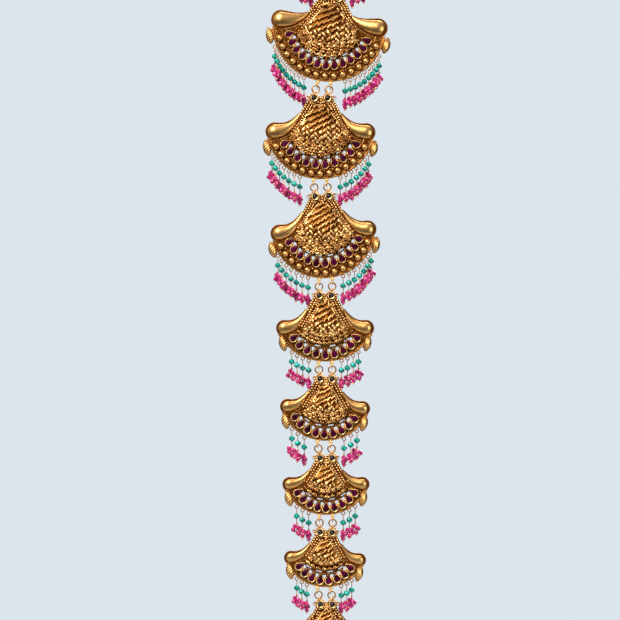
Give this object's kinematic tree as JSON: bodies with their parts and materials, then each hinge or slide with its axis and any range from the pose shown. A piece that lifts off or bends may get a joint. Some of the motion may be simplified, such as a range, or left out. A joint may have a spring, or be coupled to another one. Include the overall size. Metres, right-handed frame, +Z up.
{
  "type": "braid ornament",
  "caption": "Long braid ornament: a chain of fan-shaped gold plaques with domed scaled bodies, pear rubies and bead fringes, hung from one wire loop.",
  "frame": {"origin": "centre of the round top of the wire loop that holds the ornament in the hair", "axes": "+Z up along the hanging chain, -Y out of the plaques' front, +X to the viewer's right"},
  "size_m": [0.0644, 0.0114, 0.4167],
  "materials": {
    "gold": "antique cast gold",
    "bright_gold": "polished gold",
    "gold_wire": "drawn gold wire",
    "ruby": "faceted, polished",
    "garnet": "polished",
    "pink_bead": "polished, a little clear",
    "green_bead": "polished, a little clear"
  },
  "bodies": {
    "hair_loop": {"hair_loop": "gold_wire"},
    "plaque_1": {"plaque_1": "gold", "stones_1": "ruby", "rings_1": "gold_wire", "fringe_left_1": "pink_bead", "fringe_right_1": "pink_bead"},
    "plaque_2": {"plaque_2": "gold", "stones_2": "ruby", "rings_2": "gold_wire", "fringe_left_2": "pink_bead", "fringe_right_2": "pink_bead"},
    "plaque_3": {"plaque_3": "gold", "stones_3": "ruby", "rings_3": "gold_wire", "fringe_left_3": "pink_bead", "fringe_right_3": "pink_bead"},
    "plaque_4": {"plaque_4": "gold", "stones_4": "ruby", "rings_4": "gold_wire", "fringe_left_4": "pink_bead", "fringe_right_4": "pink_bead"},
    "plaque_5": {"plaque_5": "gold", "stones_5": "ruby", "rings_5": "gold_wire", "fringe_left_5": "pink_bead", "fringe_right_5": "pink_bead"},
    "plaque_6": {"plaque_6": "gold", "stones_6": "ruby", "rings_6": "gold_wire", "fringe_left_6": "pink_bead", "fringe_right_6": "pink_bead"},
    "plaque_7": {"plaque_7": "gold", "stones_7": "ruby", "rings_7": "gold_wire", "fringe_left_7": "pink_bead", "fringe_right_7": "pink_bead"},
    "plaque_8": {"plaque_8": "gold", "stones_8": "ruby", "rings_8": "gold_wire", "fringe_left_8": "pink_bead", "fringe_right_8": "pink_bead"},
    "plaque_9": {"plaque_9": "gold", "stones_9": "ruby", "rings_9": "gold_wire", "fringe_left_9": "pink_bead", "fringe_right_9": "pink_bead"}
  },
  "joints": [
    {"name": "swing_1", "type": "hinge", "parent": "hair_loop", "child": "plaque_1", "pos_m": [0, 0, -0.0104], "axis": [1, 0, 0], "range_deg": [-35, 35]},
    {"name": "swing_2", "type": "hinge", "parent": "plaque_1", "child": "plaque_2", "pos_m": [0, 0, -0.06205], "axis": [1, 0, 0], "range_deg": [-35, 35]},
    {"name": "swing_3", "type": "hinge", "parent": "plaque_2", "child": "plaque_3", "pos_m": [-0.00385, 0, -0.11253], "axis": [1, 0, 0], "range_deg": [-35, 35]},
    {"name": "swing_4", "type": "hinge", "parent": "plaque_3", "child": "plaque_4", "pos_m": [-0.00582, 0, -0.16132], "axis": [1, 0, 0], "range_deg": [-35, 35]},
    {"name": "swing_5", "type": "hinge", "parent": "plaque_4", "child": "plaque_5", "pos_m": [-0.00289, 0, -0.21081], "axis": [1, 0, 0], "range_deg": [-35, 35]},
    {"name": "swing_6", "type": "hinge", "parent": "plaque_5", "child": "plaque_6", "pos_m": [-0.00329, 0, -0.25244], "axis": [1, 0, 0], "range_deg": [-35, 35]},
    {"name": "swing_7", "type": "hinge", "parent": "plaque_6", "child": "plaque_7", "pos_m": [-0.00387, 0, -0.29205], "axis": [1, 0, 0], "range_deg": [-35, 35]},
    {"name": "swing_8", "type": "hinge", "parent": "plaque_7", "child": "plaque_8", "pos_m": [-0.00287, 0, -0.32906], "axis": [1, 0, 0], "range_deg": [-35, 35]},
    {"name": "swing_9", "type": "hinge", "parent": "plaque_8", "child": "plaque_9", "pos_m": [-0.00391, 0, -0.36519], "axis": [1, 0, 0], "range_deg": [-35, 35]}
  ]
}
